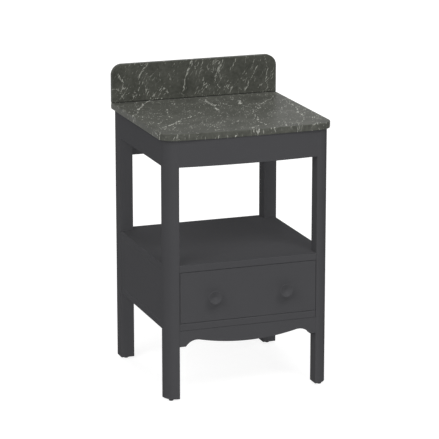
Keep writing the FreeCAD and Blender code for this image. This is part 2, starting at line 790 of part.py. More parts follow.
def knobs():
    """Two turned knobs: a tapered neck, a coned back, a rim and a dished face, bored for a screw."""
    body = new_body("knobs", -knob_spread, leg_front, front_low + knob_rise)
    bore = -(dim.knob_screw_bite + dim.bore_play)
    sketch = new_sketch(body, "XY_Plane")
    draw_outline(sketch, [
        (screw_hole, 0),
        (dim.knob_base_radius, 0),
        (dim.knob_neck_radius, -dim.knob_neck_length),
        (dim.knob_radius, dim.knob_rim - dim.knob_reach),
        (dim.knob_radius, -dim.knob_reach),
        (0, dim.knob_dish - dim.knob_reach),
        (0, bore),
        (screw_hole, bore),
    ])
    turned = add_turn(body, sketch, "Y_Axis")
    add_pair(body, turned, "X_Axis", knob_spread * 2)


def inside_screws(label, spread, level, bite):
    """Two pan-headed screws from inside the drawer, through the box front, into what lies before it."""
    body = new_body(label, -spread, box_back_face + dim.box_wall, level)
    tip = -(dim.box_wall + bite)
    sketch = new_sketch(body, "XY_Plane")
    draw_outline(sketch, [
        (0, dim.pan_head),
        (dim.screw_head_radius, dim.pan_head),
        (dim.screw_head_radius, 0),
        (dim.screw_radius, 0),
        (dim.screw_radius, tip),
        (0, tip),
    ])
    screw = add_turn(body, sketch, "Y_Axis")
    add_pair(body, screw, "X_Axis", spread * 2)


def build():
    """Make every sub-part."""
    for end, where in ((FRONT, "front"), (BACK, "back")):
        for side, name in SIDES:
            leg("leg_%s_%s" % (where, name), side, end)
            corner_block("corner_block_%s_%s" % (where, name), side, end)
    foot_glides()
    frieze()
    back_rail()
    shelf()
    notched_board("bottom_board", board_top, dim.board_thick)
    back_panel()
    apron()
    slab()
    splashback()
    drawer_front()
    box_front()
    box_back()
    box_bottom()
    inside_screws("front_screws", front_screw_spread, front_screw_level, dim.front_screw_bite)
    knobs()
    knob_bite = dim.front_thick + dim.knob_screw_bite
    inside_screws("knob_screws", knob_spread, front_low + knob_rise, knob_bite)
    for side, name in SIDES:
        side_rail("side_rail_%s" % name, side)
        side_panel("side_panel_%s" % name, side)
        glue_block("apron_block_%s" % name, side)
        packer("runner_packer_%s" % name, side)
        runner(side, name)
        sheet_face = dim.runner_room - dim.runner_sheet
        runner_screws("runner_screws_%s" % name, side, dim.runner_sheet, -1, dim.packer_screw_length)
        runner_screws("drawer_runner_screws_%s" % name, side, sheet_face, 1, dim.side_screw_length)
        box_side("drawer_box_side_%s" % name, side)


def export():
    """Check every object and write each sub-part to its own file."""
    doc.recompute()
    for item in doc.Objects:
        if {"Invalid", "Error"} & set(item.State):
            raise RuntimeError("%s failed: %s" % (item.Label, item.State))
    bodies = [item for item in doc.Objects if item.TypeId == "PartDesign::Body"]
    for body in bodies:
        if body.Shape.isNull() or not body.Shape.isValid() or not body.Shape.Solids:
            raise RuntimeError("%s has no sound shape" % body.Label)
    os.makedirs("parts", exist_ok=True)
    for body in bodies:
        body.Shape.exportStep(os.path.join("parts", body.Label + ".step"))
        print("%-26s %d solid(s) %12.1f mm3" % (body.Label, len(body.Shape.Solids), body.Shape.Volume))


build()
export()
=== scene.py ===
"""The looks of a small washstand: painted frame, marble top, open shelf and one drawer.

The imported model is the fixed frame. Every length is in metres, in that frame: x runs to the
right, y to the back and z up. Boards are outlines carried along an axis with rounded edges,
knobs and glides are turned profiles, and each stands where the solid that it replaces stands.
"""

import logging
import math
from dataclasses import dataclass
from enum import Enum
from typing import Any, Iterable, Sequence

import bpy
import numpy as np
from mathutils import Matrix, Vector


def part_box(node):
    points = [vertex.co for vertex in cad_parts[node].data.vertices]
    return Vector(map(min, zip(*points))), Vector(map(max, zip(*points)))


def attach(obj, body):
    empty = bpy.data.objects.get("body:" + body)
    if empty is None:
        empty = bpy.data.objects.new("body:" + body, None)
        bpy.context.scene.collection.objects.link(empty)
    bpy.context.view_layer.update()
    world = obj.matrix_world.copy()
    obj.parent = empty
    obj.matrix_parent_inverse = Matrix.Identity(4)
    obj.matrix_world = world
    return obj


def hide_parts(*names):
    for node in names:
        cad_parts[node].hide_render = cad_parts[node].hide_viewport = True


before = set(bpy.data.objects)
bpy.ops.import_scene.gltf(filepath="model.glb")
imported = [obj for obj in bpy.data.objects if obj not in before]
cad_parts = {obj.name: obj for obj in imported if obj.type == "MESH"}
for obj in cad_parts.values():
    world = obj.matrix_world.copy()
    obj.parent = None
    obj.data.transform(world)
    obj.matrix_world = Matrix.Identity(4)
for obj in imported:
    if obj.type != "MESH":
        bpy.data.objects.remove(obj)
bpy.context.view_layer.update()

LOG = logging.getLogger("washstand")
MM = 0.001
SIDES = {"left": -1, "right": 1}
ENDS = ("front", "back")
QUARTER = math.pi / 2

# How far a chord may leave its arc, and the fewest chords of an arc.
SAGITTA = 0.02 * MM
LEAST_CHORDS = 3
# The faces round an eased edge, and its radius as a share of the arris.
EDGE_STEPS = 4
EDGE_SHARE = 0.7
# The span that noise mostly keeps to, and its middle.
NOISE_SPAN = (0.3, 0.7)
NOISE_MIDDLE = 0.5
# The setting of a span that starts and stops gently.
SOFT = {"interpolation_type": "SMOOTHSTEP"}
# The sRGB curve: a straight toe, then a shifted power.
SRGB_TOE = 0.04045
SRGB_SLOPE = 12.92
SRGB_SHIFT = 0.055
SRGB_POWER = 2.4

Point = tuple[float, float]
Place = Sequence[float]
Radii = float | Sequence[float]
Span = tuple[float, float]
Colour = tuple[float, float, float, float]
Material = bpy.types.Material
Tree = bpy.types.NodeTree
Socket = bpy.types.NodeSocket


class Along(Enum):
    """The axis that an outline is carried along: where x, y and z are found in (u, v, w)."""

    X = (2, 0, 1)
    Y = (0, 2, 1)
    Z = (0, 1, 2)

    def to_frame(self, uvw: np.ndarray) -> np.ndarray:
        """Put (u, v, w) into the order x, y, z."""
        return uvw[..., list(self.value)]

    def from_frame(self, xyz: Place) -> list[float]:
        """Put x, y and z into the order (u, v, w)."""
        return [xyz[k] for k in np.argsort(self.value)]

    @property
    def mirrored(self) -> bool:
        """Tell whether that order turns a right-handed skin inside out."""
        return self is Along.Y


class Facing(Enum):
    """The way that a turned piece points, as the matrix that stands its axis that way."""

    UP = ((1, 0, 0), (0, 1, 0), (0, 0, 1))
    FORWARD = ((1, 0, 0), (0, 0, -1), (0, 1, 0))

    def to_frame(self, abc: np.ndarray) -> np.ndarray:
        """Turn points about the origin."""
        return abc @ np.array(self.value, float).T


@dataclass(frozen=True)
class Bend:
    """One arc of an outline that runs anticlockwise round its piece.

    A point of it is centre + radius (cos a, sin a), for a from first to last. On a hollow arc
    the angle falls and the outward side is towards the centre.
    """

    centre: Point
    radius: float
    first: float
    last: float
    hollow: bool = False

    def sample(self) -> tuple[np.ndarray, np.ndarray]:
        """Sample the arc so finely that no chord leaves it by more than SAGITTA.

        A chord over the angle a leaves its arc by about radius a a / 8.

        Returns:
            The points, and the outward direction at each.
        """
        step = math.sqrt(8 * SAGITTA / self.radius)
        count = max(LEAST_CHORDS, math.ceil(abs(self.last - self.first) / step)) + 1
        angle = np.linspace(self.first, self.last, count)
        ray = np.stack((np.cos(angle), np.sin(angle)), axis=-1)
        return np.array(self.centre) + self.radius * ray, -ray if self.hollow else ray


def corner(before: Point, at: Point, after: Point, radius: float) -> Bend:
    """Round a corner by the arc of that radius that touches both runs.

    The arc starts radius tan(turn / 2) before the corner, and its centre lies one radius to the
    side that the outline turns to.

    Args:
        before: A point on the run that comes in.
        at: The corner.
        after: A point on the run that goes out.
        radius: The arc's radius.

    Returns:
        The arc, hollow where the outline turns to the right.
    """
    come, go = np.subtract(at, before), np.subtract(after, at)
    come, go = come / np.linalg.norm(come), go / np.linalg.norm(go)
    turn = math.atan2(come[0] * go[1] - come[1] * go[0], float(come @ go))
    outward = np.array((come[1], -come[0])) * math.copysign(1, turn)
    start = np.array(at) - come * radius * math.tan(abs(turn) / 2)
    first = math.atan2(outward[1], outward[0])
    return Bend(tuple(start - outward * radius), radius, first, first + turn, hollow=turn < 0)


def rounded(corners: Sequence[Point], radii: Radii) -> list[Bend]:
    """Round every corner of a polygon.

    Args:
        corners: The corners, anticlockwise.
        radii: One radius, or one for each corner.

    Returns:
        One arc for each corner.
    """
    each = np.broadcast_to(radii, len(corners))
    ring = [corners[-1], *corners, corners[0]]
    return [corner(ring[k], ring[k + 1], ring[k + 2], float(r)) for k, r in enumerate(each)]


def rectangle(low: Point, high: Point, radii: Radii) -> list[Bend]:
    """Round a rectangle's corners, from the one at low, anticlockwise."""
    return rounded([low, (high[0], low[1]), high, (low[0], high[1])], radii)


@dataclass(frozen=True)
class Skin:
    """A closed surface: its points, the outward direction at each, its quads and its flat ends."""

    points: np.ndarray
    normals: np.ndarray
    quads: np.ndarray
    ends: list[np.ndarray]

    @property
    def faces(self) -> list[list[int]]:
        """List the points of every face."""
        return self.quads.tolist() + [end.tolist() for end in self.ends]

    @classmethod
    def of_rings(cls, points: np.ndarray, normals: np.ndarray, mirrored: bool = False) -> "Skin":
        """Join rings of points by quads and close both ends by a flat face.

        Point j of ring k meets its neighbours j + 1 and k + 1, and the last point of a ring
        meets the first.

        Args:
            points: Rings by points by 3.
            normals: The outward direction at each point, of the same shape.
            mirrored: Whether the faces have to be turned over.

        Returns:
            The skin.
        """
        rings, count = points.shape[:2]
        index = np.arange(rings * count).reshape(rings, count)
        beside = np.roll(index, -1, axis=1)
        quads = np.stack((index[:-1], beside[:-1], beside[1:], index[1:]), axis=-1).reshape(-1, 4)
        turn = slice(None, None, -1 if mirrored else 1)
        ends = [index[0][::-1][turn], index[-1][turn]]
        return cls(points.reshape(-1, 3), normals.reshape(-1, 3), quads[:, turn], ends)

    @classmethod
    def joined(cls, skins: Iterable["Skin"]) -> "Skin":
        """Put separate skins into one, each with its faces counted on from the last.

        Args:
            skins: The skins, which don't touch.

        Returns:
            One skin of several shells.
        """
        every = list(skins)
        firsts = np.cumsum([0] + [len(skin.points) for skin in every[:-1]])
        counted = list(zip(every, firsts))
        return cls(
            np.concatenate([skin.points for skin in every]),
            np.concatenate([skin.normals for skin in every]),
            np.concatenate([skin.quads + first for skin, first in counted]),
            [end + first for skin, first in counted for end in skin.ends],
        )


def prism(bends: Sequence[Bend], low: float, high: float, arris: float, along: Along) -> Skin:
    """Carry an outline along an axis, with a quarter-round on the edges of both ends.

    At the angle a, from -90 degrees at the low end to 90 at the high one, a ring is the outline
    drawn in by e (1 - cos a), at low + e (1 + sin a) or high - e (1 - sin a), and its outward
    direction is cos a times the outline's plus sin a times the axis. The radius e is a share of
    the arris, so the arcs at the corners keep some length at both ends.

    Args:
        bends: The outline's arcs, with straight runs between them.
        low: Where it starts along the axis.
        high: Where it ends.
        arris: The smallest radius of the outline's corners.
        along: The axis.

    Returns:
        A closed skin in the frame.
    """
    sampled = [bend.sample() for bend in bends]
    points = np.concatenate([p for p, _ in sampled])
    outward = np.concatenate([n for _, n in sampled])
    apart = np.linalg.norm(points - np.roll(points, 1, axis=0), axis=1) > SAGITTA
    points, outward = points[apart], outward[apart]
    ease = EDGE_SHARE * arris
    quarter = np.linspace(0, QUARTER, EDGE_STEPS + 1)
    angle = np.concatenate((quarter - QUARTER, quarter))[:, None, None]
    centre = np.repeat((low + ease, high - ease), EDGE_STEPS + 1)[:, None, None]
    flat = points - ease * (1 - np.cos(angle)) * outward
    level = np.broadcast_to(centre + ease * np.sin(angle), flat.shape[:2] + (1,))
    rise = np.broadcast_to(np.sin(angle), level.shape)
    rings = np.concatenate((flat, level), axis=-1)
    normals = np.concatenate((np.cos(angle) * outward, rise), axis=-1)
    return Skin.of_rings(along.to_frame(rings), along.to_frame(normals), along.mirrored)


def board(box: Sequence[Place], radii: Radii, along: Along) -> Skin:
    """Carry a box's rectangle along an axis, with rounded corners and edges."""
    low, high = map(along.from_frame, box)
    return prism(rectangle(low[:2], high[:2], radii), low[2], high[2], np.min(radii), along)


def turned(profile: np.ndarray, at: Place, facing: Facing, around: int) -> Skin:
    """Turn a profile once round an axis.

    A point of it is (r cos t, r sin t, h) for each (r, h) of the profile and each angle t, and
    its outward direction stands square to the profile.

    Args:
        profile: Radius and reach along the axis, from the foot outwards.
        at: The axis's foot.
        facing: The way that the axis points.
        around: How many points go round.

    Returns:
        A closed skin in the frame.
    """
    slope = np.gradient(profile, axis=0)
    slope /= np.linalg.norm(slope, axis=1, keepdims=True)
    turn = np.linspace(0, 2 * math.pi, around, endpoint=False)
    ray = np.stack((np.cos(turn), np.sin(turn), np.zeros(around)), axis=-1)
    axis = np.array((0.0, 0.0, 1.0))
    rings = profile[:, :1, None] * ray + profile[:, 1:, None] * axis
    normals = slope[:, 1:, None] * ray - slope[:, :1, None] * axis
    return Skin.of_rings(facing.to_frame(rings) + np.array(at), facing.to_frame(normals))


def linear(code: str) -> Colour:
    """Turn an sRGB colour into a linear one.

    Args:
        code: Six hex digits.

    Returns:
        Red, green, blue and an opaque alpha.
    """
    shares = np.frombuffer(bytes.fromhex(code), np.uint8) / 255
    curve = ((shares + SRGB_SHIFT) / (1 + SRGB_SHIFT)) ** SRGB_POWER
    return (*np.where(shares <= SRGB_TOE, shares / SRGB_SLOPE, curve).tolist(), 1.0)


def add_node(tree: Tree, kind: str, inputs: dict | None = None, **settings: Any) -> bpy.types.Node:
    """Add a node, with its settings and its links.

    Args:
        tree: The tree that it joins.
        kind: Its type, without the leading "ShaderNode".
        inputs: A value or another node's output for each input, by its name or number.
        settings: The node's own properties.

    Returns:
        The node.
    """
    node = tree.nodes.new("ShaderNode" + kind)
    for name, value in settings.items():
        setattr(node, name, value)
    for key, value in (inputs or {}).items():
        if isinstance(value, bpy.types.NodeSocket):
            tree.links.new(value, node.inputs[key])
        else:
            node.inputs[key].default_value = value
    return node


def noise(tree: Tree, place: Socket, size: float, detail: float) -> Socket:
    """Make noise of a size, with so many finer layers."""
    node = add_node(tree, "TexNoise", {"Vector": place, "Scale": 1 / size, "Detail": detail})
    return node.outputs["Fac"]


def mapped(tree: Tree, **inputs: Any) -> Socket:
    """Lay out coordinates for a texture that is moved, turned and scaled so."""
    return add_node(tree, "Mapping", inputs, vector_type="TEXTURE").outputs["Vector"]


def calculate(tree: Tree, operation: str, *values: Socket | float) -> Socket:
    """Work out one operation on its values."""
    return add_node(tree, "Math", dict(enumerate(values)), operation=operation).outputs["Value"]


def remap(tree: Tree, value: Socket, come: Span, go: Span = (0.0, 1.0), **settings: str) -> Socket:
    """Carry a value from one span to another and hold it at the ends."""
    ends = {"From Min": come[0], "From Max": come[1], "To Min": go[0], "To Max": go[1]}
    return add_node(tree, "MapRange", {"Value": value, **ends}, **settings).outputs["Result"]


def blend(tree: Tree, share: Socket, first: Socket | Colour, second: Socket | Colour) -> Socket:
    """Mix two colours by a share. A colour mix takes them at its inputs 6 and 7."""
    return add_node(tree, "Mix", {0: share, 6: first, 7: second}, data_type="RGBA").outputs[2]


def bumped(tree: Tree, height: Socket, depth: float, strength: float) -> Socket:
    """Give the normal of a surface that rises and falls by a depth."""
    node = add_node(tree, "Bump", {"Height": height, "Distance": depth, "Strength": strength})
    return node.outputs["Normal"]


def new_material(name: str) -> tuple[Material, Tree, Socket]:
    """Start a material with an empty tree that reads Object coordinates.

    Args:
        name: The material's name.

    Returns:
        The material, its tree and the coordinates.
    """
    material = bpy.data.materials.new(name)
    material.use_nodes = True
    material.node_tree.nodes.clear()
    place = add_node(material.node_tree, "TexCoord")
    return material, material.node_tree, place.outputs["Object"]


def close_material(tree: Tree, inputs: dict[str, Any]) -> None:
    """End a tree in the Principled shader, with its values and links."""
    shader = add_node(tree, "BsdfPrincipled", inputs)
    add_node(tree, "OutputMaterial", {"Surface": shader.outputs["BSDF"]})


@dataclass(frozen=True)
class SprayedPaint:
    """Matt furniture paint sprayed on sanded board.

    It gives the eye an even dark grey with hardly any sheen. The film's orange peel is 1 to 3 mm
    across and hardly shows, so it is drawn at 7 mm and very shallow.
    """

    name: str = "matt_paint_sprayed"
    colour: str = "48484A"
    cloud: str = "4B4B4D"
    cloud_size: float = 140 * MM
    cloud_detail: float = 3.0
    peel_size: float = 7 * MM
    peel_detail: float = 1.0
    peel_depth: float = 0.03 * MM
    peel_strength: float = 0.5
    roughness: Span = (0.8, 0.88)
    specular: float = 0.015

    def make(self) -> Material:
        """Build the material.

        Returns:
            The material.
        """
        material, tree, place = new_material(self.name)
        cloud = noise(tree, place, self.cloud_size, self.cloud_detail)
        peel = noise(tree, place, self.peel_size, self.peel_detail)
        close_material(tree, {
            "Base Color": blend(tree, cloud, linear(self.colour), linear(self.cloud)),
            "Roughness": remap(tree, peel, NOISE_SPAN, self.roughness),
            "Normal": bumped(tree, peel, self.peel_depth, self.peel_strength),
            "Specular IOR Level": self.specular,
        })
        return material


@dataclass(frozen=True)
class Vein:
    """One pale vein in its face's own plane: its ends and half its width, in millimetres."""

    start: Point
    end: Point
    width: float
    strength: float = 0.78


@dataclass(frozen=True)
class PolishedMarble:
    """Dark grey marble, sawn and polished.

    It gives the eye a cloudy warm grey, crossed by pale veins that wander, break up and trail
    off into strokes, all leaning one way, under a soft polish. Strokes finer than 3 mm are drawn
    at about 3, and on the level top they are longer, because it is seen at a low angle. A stone
    bedded on another gets a dark band along its foot: partly its adhesive joint, and partly
    painted shade, the contact shadow in the corner where it meets the stone below.
    """

    name: str
    along: Along
    veins: tuple[Vein, ...]
    stroke_size: Span
    dark: str = "3F403B"
    light: str = "53544E"
    vein_colour: str = "9A9B93"
    cloud_size: float = 60 * MM
    cloud_detail: float = 3.0
    mottle_size: float = 9 * MM
    mottle_detail: float = 4.0
    mottle_share: float = 0.45
    ground_span: Span = (0.34, 0.66)
    wander_size: float = 60 * MM
    wander: float = 30 * MM
    fray_size: float = 9 * MM
    fray: float = 12 * MM
    stray_detail: float = 2.0
    thread_size: Span = (34 * MM, 95 * MM)
    thread_width: float = 0.016
    thread_strength: float = 0.75
    vein_core: float = 0.15
    vein_fade: Span = (0.75, 1.15)
    lean: float = 62.0
    stroke_detail: float = 2.0
    stroke_step: Span = (0.6, 0.7)
    patch_span: Span = (0.46, 0.62)
    gather: float = 0.235
    scatter: float = 0.05
    faint: float = 0.42
    roughness: Span = (0.34, 0.42)
    specular: float = 0.02
    # The dark band at a bedded stone's foot is partly its adhesive joint and partly painted shade
    # in the corner where it meets the stone below.
    joint: float = 0.0
    joint_and_shade_height: float = 3 * MM
    joint_and_shade_colour: str = "232421"

    def turn(self, degrees: float) -> Place:
        """Give the rotation that leans a pattern by an angle in the face's plane."""
        angle = math.radians(degrees)
        return (0, -angle, 0) if self.along is Along.Y else (0, 0, angle)

    def spread(self, first: float, second: float, through: float) -> np.ndarray:
        """Put the two sizes in the face's plane and the one through it into x, y, z."""
        return self.along.to_frame(np.array((first, second, through)))

    def strayed(self, tree: Tree, place: Socket, size: float, by: float) -> Socket:
        """Move coordinates about by a cloud of noise.

        Args:
            tree: The tree.
            place: The coordinates.
            size: The cloud's size.
            by: How far the noise moves them, at its two ends together.

        Returns:
            The new coordinates.
        """
        cloud = add_node(tree, "TexNoise", {
            "Vector": place, "Scale": 1 / size, "Detail": self.stray_detail,
        })
        centred = add_node(tree, "VectorMath", {
            0: cloud.outputs["Color"], 1: (NOISE_MIDDLE,) * 3,
        }, operation="SUBTRACT")
        moved = add_node(tree, "VectorMath", {
            0: centred.outputs["Vector"], 1: (by,) * 3, 2: place,
        }, operation="MULTIPLY_ADD")
        return moved.outputs["Vector"]

    def leaning(self, tree: Tree, place: Socket, size: Span) -> Socket:
        """Make noise in strokes that all lean one way.

        Args:
            tree: The tree.
            place: The coordinates.
            size: A stroke's width and length.

        Returns:
            The noise.
        """
        width, length = size
        lean = mapped(
            tree, Vector=place, Rotation=self.turn(self.lean),
            Scale=self.spread(length, width, length),
        )
        return noise(tree, lean, 1.0, self.stroke_detail)

    def lay(self, tree: Tree, place: Socket, vein: Vein) -> Socket:
        """Lay one vein: full along the line between its ends, and fading to both sides.

        Args:
            tree: The tree.
            place: The straying coordinates.
            vein: The vein.

        Returns:
            Its strength at each point.
        """
        start, end = np.array(vein.start) * MM, np.array(vein.end) * MM
        run, middle = end - start, (start + end) / 2
        half = float(np.linalg.norm(run)) / 2
        local = mapped(
            tree, Vector=place, Location=self.spread(*middle, 0),
            Rotation=self.turn(math.degrees(math.atan2(run[1], run[0]))),
            Scale=self.spread(half, vein.width * MM, 1),
        )
        off = add_node(tree, "VectorMath", {0: local}, operation="ABSOLUTE")
        parts = add_node(tree, "SeparateXYZ", {"Vector": off.outputs["Vector"]})
        beside = parts.outputs[self.along.value.index(1)]
        across = remap(tree, beside, (self.vein_core, 1.0), (vein.strength, 0.0), **SOFT)
        ends = remap(tree, parts.outputs[0], self.vein_fade, (1.0, 0.0), **SOFT)
        return calculate(tree, "MULTIPLY", across, ends)

    def strokes(self, tree: Tree, wandering: Socket, frayed: Socket, cloud: Socket) -> Socket:
        """Draw the pale strokes: many along the veins and threads, and a few between them.

        A stroke shows where the leaning noise passes a step. A vein or thread lifts that noise,
        and a dark cloud lowers it.

        Args:
            tree: The tree.
            wandering: The coordinates of the strokes.
            frayed: The coordinates of the veins and threads.
            cloud: The cloud.

        Returns:
            How pale each point is.
        """
        patch = remap(tree, cloud, self.patch_span, (-self.scatter, 0.0), **SOFT)
        swirl = self.leaning(tree, frayed, self.thread_size)
        ridge = calculate(tree, "ABSOLUTE", calculate(tree, "SUBTRACT", swirl, NOISE_MIDDLE))
        laid = remap(tree, ridge, (0.0, self.thread_width), (self.thread_strength, 0.0), **SOFT)
        for vein in self.veins:
            laid = calculate(tree, "MAXIMUM", laid, self.lay(tree, frayed, vein))
        grit = self.leaning(tree, wandering, self.stroke_size)
        thinned = calculate(tree, "ADD", grit, patch)
        gathered = calculate(tree, "MULTIPLY_ADD", laid, self.gather, thinned)
        shown = remap(tree, gathered, self.stroke_step, **SOFT)
        bright = remap(tree, laid, (0.0, 1.0), (self.faint, 1.0))
        return calculate(tree, "MULTIPLY", shown, bright)

    def make(self) -> Material:
        """Build the material.

        Returns:
            The material.
        """
        material, tree, place = new_material(self.name)
        wandering = self.strayed(tree, place, self.wander_size, self.wander)
        frayed = self.strayed(tree, wandering, self.fray_size, self.fray)
        cloud = noise(tree, wandering, self.cloud_size, self.cloud_detail)
        mottle = noise(tree, wandering, self.mottle_size, self.mottle_detail)
        pale = self.strokes(tree, wandering, frayed, cloud)
        depth = add_node(tree, "Mix", {
            0: self.mottle_share, 2: cloud, 3: mottle,
        }, data_type="FLOAT").outputs[0]
        shade = remap(tree, depth, self.ground_span)
        ground = blend(tree, shade, linear(self.dark), linear(self.light))
        tone = blend(tree, pale, ground, linear(self.vein_colour))
        # Darken a band at the stone's foot: the adhesive joint, and painted contact shade in that
        # corner.
        level = add_node(tree, "SeparateXYZ", {"Vector": place}).outputs["Z"]
        seam = (self.joint + self.joint_and_shade_height / 2, self.joint + self.joint_and_shade_height)
        joint_and_shade = remap(tree, level, seam, (1.0, 0.0))
        close_material(tree, {
            "Base Color": blend(tree, joint_and_shade, tone, linear(self.joint_and_shade_colour)),
            "Roughness": remap(tree, mottle, NOISE_SPAN, self.roughness),
            "Specular IOR Level": self.specular,
        })
        return material


class Grain(Enum):
    """The way that a board's grain runs and the way through its thickness, as axis numbers."""

    ACROSS_FACING_FRONT = (0, 1)
    ACROSS_FACING_UP = (0, 2)
    BACKWARDS_FACING_SIDE = (1, 0)
    UPRIGHT_FACING_FRONT = (2, 1)


@dataclass(frozen=True)
class ClearWood:
    """Wood under a clear finish, as lacquered birch plywood or bare planed pine.

    It gives the eye long fine grain in two close tones and, on plywood, the dark and light
    edges of the plies. Grain finer than 1.5 mm is drawn at 1.5.
    """

    name: str
    grain: Grain
    pale: str
    dark: str
    line: str
    grain_size: float
    grain_run: float
    ply: float
    roughness: float
    grain_detail: float = 4.0
    grain_fineness: float = 0.55
    grain_waver: float = 0.4
    grain_depth: float = 0.1 * MM
    grain_strength: float = 0.3
    glue_span: Span = (0.35, 0.65)
    glue_strength: float = 0.7
    edge_below: float = 0.5

    def make(self) -> Material:
        """Build the material.

        Returns:
            The material.
        """
        material, tree, place = new_material(self.name)
        run, through = self.grain.value
        sizes = np.full(3, self.grain_size)
        sizes[run] = self.grain_run
        streak = add_node(tree, "TexNoise", {
            "Vector": mapped(tree, Vector=place, Scale=sizes),
            "Scale": 1.0, "Detail": self.grain_detail,
            "Roughness": self.grain_fineness, "Distortion": self.grain_waver,
        }).outputs["Fac"]
        share = remap(tree, streak, NOISE_SPAN)
        face = blend(tree, share, linear(self.pale), linear(self.dark))
        parts = add_node(tree, "SeparateXYZ", {"Vector": place})
        layer = calculate(tree, "PINGPONG", parts.outputs[through], self.ply)
        joint = (self.ply * self.glue_span[0], self.ply * self.glue_span[1])
        glue = remap(tree, layer, joint, (0.0, self.glue_strength))
        solid = add_node(tree, "NewGeometry")
        facing = add_node(tree, "SeparateXYZ", {"Vector": solid.outputs["Normal"]})
        flat = calculate(tree, "ABSOLUTE", facing.outputs[through])
        edge = calculate(tree, "LESS_THAN", flat, self.edge_below)
        shown = calculate(tree, "MULTIPLY", glue, edge)
        close_material(tree, {
            "Base Color": blend(tree, shown, face, linear(self.line)),
            "Roughness": self.roughness,
            "Normal": bumped(tree, streak, self.grain_depth, self.grain_strength),
        })
        return material


@dataclass(frozen=True)
class ZincPlatedSteel:
    """Rolled steel strip, bright zinc plated.

    It gives the eye a cool silver with faint lines along the strip and a cloudy gloss. The
    rolling lines are under 0.2 mm apart, so they are drawn at 0.8.
    """

    name: str = "zinc_plated_steel_rolled"
    colour: str = "C3C7CB"
    stain: str = "ABAFB2"
    cloud_size: float = 16 * MM
    cloud_detail: float = 3.0
    line_size: Span = (0.8 * MM, 45 * MM)
    line_detail: float = 2.0
    line_depth: float = 0.04 * MM
    line_strength: float = 0.4
    roughness: Span = (0.26, 0.42)

    def make(self) -> Material:
        """Build the material.

        Returns:
            The material.
        """
        material, tree, place = new_material(self.name)
        cloud = noise(tree, place, self.cloud_size, self.cloud_detail)
        wide, run = self.line_size
        strip = mapped(tree, Vector=place, Scale=(wide, run, wide))
        lines = noise(tree, strip, 1.0, self.line_detail)
        close_material(tree, {
            "Base Color": blend(tree, cloud, linear(self.colour), linear(self.stain)),
            "Metallic": 1.0,
            "Roughness": remap(tree, cloud, NOISE_SPAN, self.roughness),
            "Normal": bumped(tree, lines, self.line_depth, self.line_strength),
        })
        return material


@dataclass(frozen=True)
class MouldedNylon:
    """Black nylon, injection moulded in a lightly eroded tool.

    It gives the eye a dull near-black with a fine grain, which is drawn at 1.2 mm.
    """

    name: str = "nylon_moulded"
    colour: str = "19191B"
    scuff: str = "2A2A2C"
    grain_size: float = 1.2 * MM
    grain_detail: float = 2.0
    grain_depth: float = 0.05 * MM
    grain_strength: float = 0.4
    roughness: float = 0.55

    def make(self) -> Material:
        """Build the material.

        Returns:
            The material.
        """
        material, tree, place = new_material(self.name)
        grain = noise(tree, place, self.grain_size, self.grain_detail)
        close_material(tree, {
            "Base Color": blend(tree, grain, linear(self.colour), linear(self.scuff)),
            "Roughness": self.roughness,
            "Normal": bumped(tree, grain, self.grain_depth, self.grain_strength),
        })
        return material


TOP_VEINS = (
    Vein((-135, 245), (-173, 202), 5.6, 0.84), Vein((-173, 202), (-222, 109), 7.2, 0.87),
    Vein((-222, 109), (-257, 36), 4.8), Vein((-136, 100), (-158, 21), 4),
    Vein((-158, 21), (-153, -44), 4), Vein((-84, -6), (-136, -50), 5.6, 0.81),
    Vein((-136, -50), (-237, -159), 7.2, 0.81), Vein((-83, 215), (-94, 129), 3.2),
    Vein((-94, 129), (-52, 181), 3.2), Vein((21, 200), (-1, 30), 7.2, 0.85),
    Vein((107, 157), (90, 85), 8.8, 0.9), Vein((90, 85), (105, 35), 4),
    Vein((224, 172), (114, 10), 3.2), Vein((94, -5), (61, -143), 3.2, 0.75),
    Vein((61, -143), (64, -206), 4), Vein((244, 74), (205, -131), 4),
)
SPLASH_VEINS = (
    Vein((-250, 873), (-224, 849), 3.2, 0.87), Vein((-158, 894), (-177, 854), 2.8, 0.84),
    Vein((-177, 854), (-179, 828), 2.8, 0.81), Vein((-94, 842), (-134, 795), 3.2, 0.84),
    Vein((-7, 899), (-31, 853), 6.4, 0.9), Vein((-31, 853), (-51, 796), 3.2, 0.81),
    Vein((-105, 827), (-82, 812), 2.8), Vein((33, 831), (9, 801), 3.2),
    Vein((89, 900), (60, 838), 6.4, 0.84), Vein((60, 838), (82, 809), 4),
    Vein((130, 902), (111, 867), 2.8, 0.75), Vein((208, 890), (159, 795), 2.8, 0.85),
    Vein((221, 898), (230, 872), 4.8, 0.9), Vein((230, 872), (228, 822), 3.2, 0.84),
    Vein((228, 822), (194, 801), 3.2, 0.81), Vein((248, 848), (243, 826), 3.2),
)


